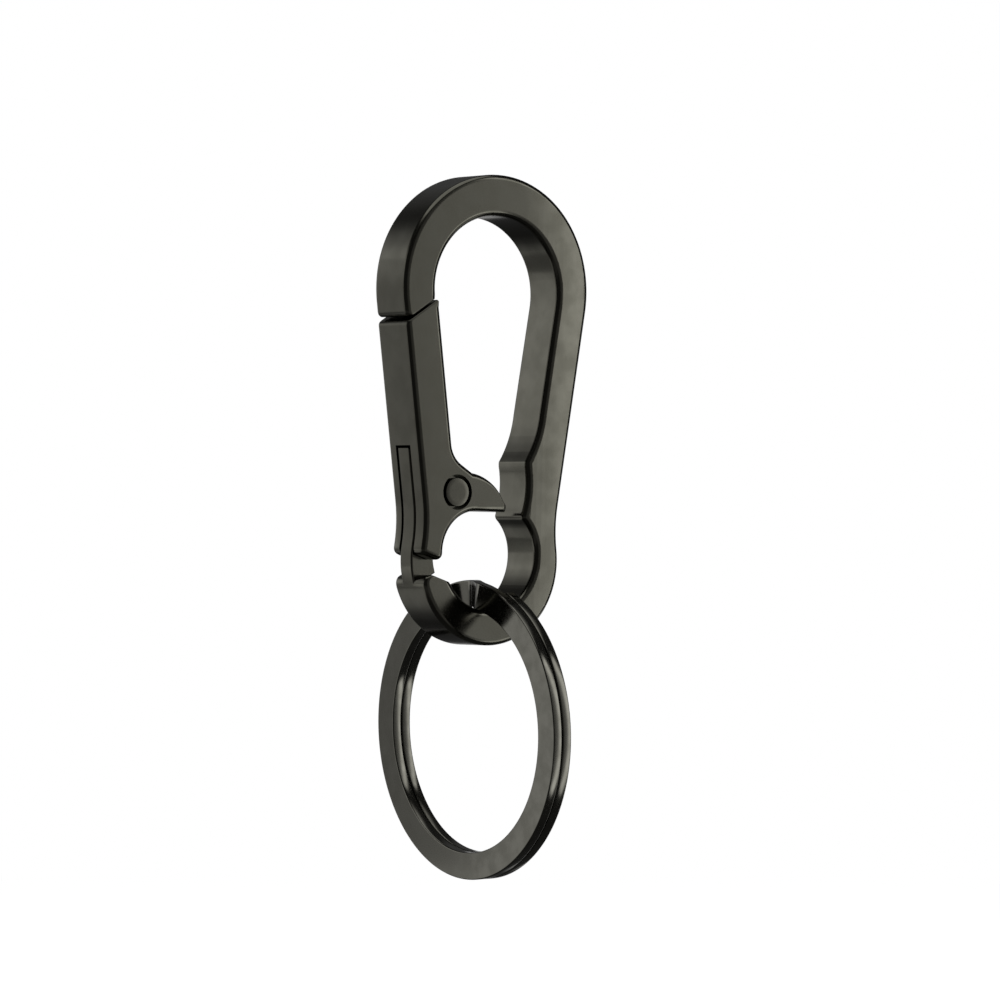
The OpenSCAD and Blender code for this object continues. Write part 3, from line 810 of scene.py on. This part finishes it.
# Hardened steel strip, rolled, wound and barrel plated: brighter and smoother than the casting,
# with long soft streaks of light along the wire
ringLook = {
    "name": "gunmetalPlatedSteelStrip",
    "colour": "#6c6b64",
    "shade": "#62615a",
    "roughness": (0.11, 0.16),
    "mottleSize": 1.6,
    "swellSize": 6,
    "swellDepth": 0.002,
    "peelSize": 0.5,
    "peelDepth": 0.0003,
}

# Drawn stainless spring wire: a pale grey metal with a silky draw finish
springLook = {
    "name": "drawnStainlessWire",
    "colour": "#9b9c9d",
    "shade": "#86888a",
    "roughness": (0.25, 0.34),
    "mottleSize": 0.5,
    "swellSize": 1.5,
    "swellDepth": 0.002,
    "peelSize": 0.15,
    "peelDepth": 0.0005,
}


noiseDetail = {"mottleSize": 4, "swellSize": 1, "peelSize": 2}
mottleRange = (0.3, 0.7)  # the noise hardly leaves this range


def metalMaterial(look):
    material, tree = emptyMaterial(look["name"])
    place = addNode(tree, "TexCoord").outputs["Object"]
    mottle, swell, peel = (
        addNode(tree, "TexNoise", inputs={
            "Vector": place, "Scale": 1 / (look[key] * mm), "Detail": detail}).outputs["Fac"]
        for key, detail in noiseDetail.items())
    spread = addNode(tree, "MapRange", {"interpolation_type": "SMOOTHSTEP"}, {
        "Value": mottle, "From Min": mottleRange[0], "From Max": mottleRange[1]}).outputs["Result"]
    colour = addNode(tree, "MixRGB", inputs={
        "Fac": spread, "Color1": linear(look["shade"]),
        "Color2": linear(look["colour"])}).outputs["Color"]
    smoother, rougher = look["roughness"]
    roughness = addNode(tree, "MapRange", inputs={
        "Value": spread, "To Min": rougher, "To Max": smoother}).outputs["Result"]
    wavy = addNode(tree, "Bump", inputs={
        "Strength": 1, "Distance": look["swellDepth"] * mm, "Height": swell})
    fine = addNode(tree, "Bump", inputs={
        "Strength": 1, "Distance": look["peelDepth"] * mm, "Height": peel,
        "Normal": wavy.outputs["Normal"]})
    shader = addNode(tree, "BsdfPrincipled", inputs={
        "Base Color": colour, "Metallic": 1, "Roughness": roughness,
        "Normal": fine.outputs["Normal"]})
    addNode(tree, "OutputMaterial", inputs={"Surface": shader.outputs["BSDF"]})
    return material


# Set: pale floor below the hanging clip, white room, and softboxes with dark cloth between them,
# which only the metal reflects

setShape = {
    "floorHeight": -112,
    "floorRadius": 620,
    "floorColour": "#f2f1ee",
    "floorShare": 0.6,          # of the floor's own colour in its middle, the rest is plain white
    "floorFade": (0.35, 0.97),  # shares of its radius between which it fades to plain white
    "surroundRadius": 2000,
    "cloth": 0.04,              # brightness of the dark cloth
    "roomLight": 0.35,          # what the white room gives as light, where it is seen as 1
}

# Each softbox: brightness, and its share at each angle round the set and above the horizon.
# Angles round the set count from the fixed arm's side, +X, towards the back, +Y.
softboxes = {
    "frontWall": {
        "level": 2.6,
        "around": ((-116, 0), (-98, 0.045), (-74, 0.05), (-62, 0.07), (-56, 0.15), (-53, 0.24),
                   (-49.5, 0.66), (-46, 0.82), (-41, 0.82), (-36, 0)),
        "above": ((-42, 0), (-36, 1), (40, 1), (48, 0)),
    },
    "sideWindow": {
        "level": 1.1,
        "around": ((86, 0), (96, 0.25), (112, 1), (165, 1), (174, 0)),
        "above": ((-40, 0), (-34, 0.42), (-24, 0.44), (-16, 0.6), (-7, 0.74), (2, 0.78), (14, 0.98),
                  (21, 0.74), (28, 0.37), (34, 0.1), (37, 0)),
    },
    "lowBand": {
        "level": 0.6,
        "around": ((-180, 0.1), (-100, 0.1), (-90, 0), (-34, 0), (-28, 1), (38, 1), (48, 0),
                   (168, 0), (180, 0.1)),
        "above": ((-38, 0), (-33, 1), (-19, 1), (-14, 0)),
    },
    "overhead": {
        "level": 1,
        "around": ((-180, 1), (180, 1)),
        "above": ((54, 0), (64, 1), (90, 1)),
    },
    "backWindow": {
        "level": 0.45,
        "around": ((0, 0), (40, 1), (86, 1), (98, 0)),
        "above": ((-18, 0), (-8, 1), (4, 1), (10, 0)),
    },
    "backPanel": {
        "level": 0.066,
        "around": ((36, 0), (50, 1), (80, 1), (98, 0)),
        "above": ((-2, 0), (14, 0.35), (20, 0.5), (27, 0.95), (36, 1), (42, 0)),
    },
}


def rampOf(tree, angle, stops, whole):  # smooth curve through shares given at angles in degrees
    share = addNode(tree, "Math", {"operation": "MULTIPLY_ADD"}, {
        0: angle, 1: degrees(1) / whole, 2: 0.5}).outputs["Value"]
    ramp = addNode(tree, "ValToRGB", inputs={"Fac": share})
    ramp.color_ramp.interpolation = "EASE"
    elements = ramp.color_ramp.elements
    while len(elements) < len(stops):
        elements.new(0.5)
    for element, (stop, level) in zip(elements, stops):
        element.position = stop / whole + 0.5
        element.color = (level, level, level, 1)
    return ramp.outputs["Color"]


def surroundMaterial():
    material, tree = emptyMaterial("studioSurround")
    place = addNode(tree, "TexCoord").outputs["Object"]
    ray = addNode(tree, "VectorMath", {"operation": "NORMALIZE"}, {0: place}).outputs["Vector"]
    parts = addNode(tree, "SeparateXYZ", inputs={"Vector": ray}).outputs
    around = addNode(tree, "Math", {"operation": "ARCTAN2"}, {
        0: parts["Y"], 1: parts["X"]}).outputs["Value"]
    above = addNode(tree, "Math", {"operation": "ARCSINE"}, {0: parts["Z"]}).outputs["Value"]
    total = None
    for box in softboxes.values():
        shape = addNode(tree, "Math", {"operation": "MULTIPLY"}, {
            0: rampOf(tree, around, box["around"], 360), 1: rampOf(tree, above, box["above"], 180)})
        total = addNode(tree, "Math", {"operation": "MULTIPLY_ADD"}, {
            0: shape.outputs["Value"], 1: box["level"],
            2: setShape["cloth"] if total is None else total}).outputs["Value"]
    light = addNode(tree, "Emission", inputs={"Strength": total})
    addNode(tree, "OutputMaterial", inputs={"Surface": light.outputs["Emission"]})
    material.cycles.emission_sampling = "NONE"
    return material


# Gauzes that dim the side window in the metal: one for the hook and one for the ring.
# Both stand square to scrimAngle, and near and far count sideways from a line through the clip's middle.
scrimAngle = 126                # degrees round the set
scrims = {
    "sideScrim": {"distance": 45, "near": 4.5, "far": 44.5, "bottom": -41, "top": 8, "passes": 0.6},
    "ringScrim": {"distance": 110, "near": -38, "far": 2, "bottom": -80, "top": -41, "passes": 0.44},
}


def makeScrim(name):
    scrim = scrims[name]
    turn = radians(scrimAngle)
    out, aside = scrim["distance"], (scrim["near"] + scrim["far"]) / 2
    place = (out * cos(turn) - aside * sin(turn), out * sin(turn) + aside * cos(turn),
             (scrim["bottom"] + scrim["top"]) / 2)
    bpy.ops.object.select_all(action="DESELECT")
    bpy.ops.mesh.primitive_plane_add(size=mm, location=[v * mm for v in place],
                                     rotation=(pi / 2, 0, turn - pi / 2))
    gauze = bpy.context.active_object
    gauze.name = name
    gauze.scale = (scrim["far"] - scrim["near"], scrim["top"] - scrim["bottom"], 1)
    bpy.ops.object.transform_apply(location=True, rotation=True, scale=True)
    material, tree = emptyMaterial(name + "Gauze")
    gauzeColour = [scrim["passes"]] * 3 + [1]
    gauzeLook = addNode(tree, "BsdfTransparent", inputs={"Color": gauzeColour})
    addNode(tree, "OutputMaterial", inputs={"Surface": gauzeLook.outputs["BSDF"]})
    gauze.data.materials.append(material)
    seenInMetalOnly(gauze)


def seenInMetalOnly(thing):
    for ray in ("camera", "diffuse", "transmission", "volume_scatter", "shadow"):
        setattr(thing, "visible_" + ray, False)


def seenDirectly(tree):  # 1 for camera rays and for rays that metal and glass send out
    path = addNode(tree, "LightPath").outputs
    both = addNode(tree, "Math", {"operation": "MAXIMUM"}, {
        0: path["Is Glossy Ray"], 1: path["Is Transmission Ray"]})
    return addNode(tree, "Math", {"operation": "MAXIMUM"}, {
        0: path["Is Camera Ray"], 1: both.outputs["Value"]}).outputs["Value"]


def floorMaterial():  # matt paper that fades to plain white at its rim
    material, tree = emptyMaterial("mattPaperFloor")
    place = addNode(tree, "TexCoord").outputs["Object"]
    flat = addNode(tree, "VectorMath", {"operation": "MULTIPLY"}, {0: place, 1: (1, 1, 0)})
    reach = addNode(tree, "VectorMath", {"operation": "LENGTH"}, {0: flat.outputs["Vector"]})
    fadeStart, fadeEnd = (share * setShape["floorRadius"] * mm for share in setShape["floorFade"])
    fade = addNode(tree, "MapRange", {"interpolation_type": "SMOOTHSTEP"}, {
        "Value": reach.outputs["Value"], "From Min": fadeStart, "From Max": fadeEnd,
        "To Min": 1 - setShape["floorShare"], "To Max": 1}).outputs["Result"]
    share = addNode(tree, "Math", {"operation": "MULTIPLY"}, {0: fade, 1: seenDirectly(tree)})
    paper = addNode(tree, "BsdfDiffuse", inputs={"Color": linear(setShape["floorColour"])})
    white = addNode(tree, "Emission", inputs={"Strength": 1})
    both = addNode(tree, "MixShader", inputs={
        0: share.outputs["Value"], 1: paper.outputs["BSDF"], 2: white.outputs["Emission"]})
    addNode(tree, "OutputMaterial", inputs={"Surface": both.outputs["Shader"]})
    return material


# Soft lamps for the floor's shadow, aimed at the floor's middle: sizes in millimetres, power in watts
lamps = {
    "keyLamp": {"place": (-900, -1100, 1900), "size": 900, "power": 62},
    "fillLamp": {"place": (1300, 500, 1500), "size": 1100, "power": 26},
}


def makeLamp(name):
    bpy.ops.object.light_add(type="AREA", location=[v * mm for v in lamps[name]["place"]])
    lamp = bpy.context.active_object
    lamp.name = name
    lamp.data.size = lamps[name]["size"] * mm
    lamp.data.energy = lamps[name]["power"]
    lamp.visible_glossy = False
    aim = Vector((0, 0, setShape["floorHeight"] * mm)) - lamp.location
    lamp.rotation_euler = aim.to_track_quat("-Z", "Y").to_euler()


def makeSet():
    bpy.ops.object.select_all(action="DESELECT")
    bpy.ops.mesh.primitive_circle_add(vertices=128, radius=setShape["floorRadius"] * mm, fill_type="NGON",
                                      location=(0, 0, setShape["floorHeight"] * mm))
    floor = bpy.context.active_object
    floor.name = "studioFloor"
    bpy.ops.object.transform_apply(location=True, rotation=True, scale=True)
    floor.data.materials.append(floorMaterial())
    floor.visible_glossy = False  # the metal sees the softboxes and the cloth instead

    bpy.ops.object.select_all(action="DESELECT")
    bpy.ops.mesh.primitive_uv_sphere_add(segments=96, ring_count=48,
                                         radius=setShape["surroundRadius"] * mm)
    surround = bpy.context.active_object
    surround.name = "studioSurround"
    surround.data.materials.append(surroundMaterial())
    seenInMetalOnly(surround)
    for name in scrims:
        makeScrim(name)

    world = bpy.data.worlds.new("studioWhite")
    world.use_nodes = True
    tree = world.node_tree
    tree.nodes.clear()
    seen = addNode(tree, "MapRange", inputs={
        "Value": seenDirectly(tree), "To Min": setShape["roomLight"], "To Max": 1})
    white = addNode(tree, "Background", inputs={
        "Color": (1, 1, 1, 1), "Strength": seen.outputs["Result"]})
    addNode(tree, "OutputWorld", inputs={"Surface": white.outputs["Background"]})
    bpy.context.scene.world = world
    for name in lamps:
        makeLamp(name)


# Camera where the photograph was taken from

cameraShape = {
    "place": (-348.64, -475.98, -30.32),
    "turn": -36.4,
    "lens": 198.38,
}


def makeCamera():
    bpy.ops.object.camera_add(location=[v * mm for v in cameraShape["place"]],
                              rotation=(pi / 2, 0, radians(cameraShape["turn"])))
    camera = bpy.context.active_object
    camera.name = "photoCamera"
    camera.data.lens = cameraShape["lens"]
    camera.data.clip_start = 0.01
    bpy.context.scene.camera = camera
    bpy.context.scene.view_settings.view_transform = "Standard"


# Making

makeCamera()
makeSet()
print("stage: set and camera ready")

gate = makeGate()
cutGate(gate)
hookBody = makeHookFrame()
crownArm(hookBody)
cut(hookBody, makeTongue(), "UNION")
rivet = makeRivet()
ring = makeRing()
spring = makeSpring()
print("stage: pieces modelled")

for piece in (gate, hookBody, rivet):
    hang(piece)
for piece in (gate, hookBody, rivet, ring, spring):
    smooth(piece)
casting = metalMaterial(castingLook)
finishPiece(hookBody, "frame", "hook_frame", casting)
finishPiece(gate, "gate", "gate", casting)
finishPiece(rivet, "gate", "pivot_rivet", metalMaterial(rivetLook))
finishPiece(ring, "ring", "split_ring", metalMaterial(ringLook))
finishSpring(spring, metalMaterial(springLook))
print("stage: pieces finished")
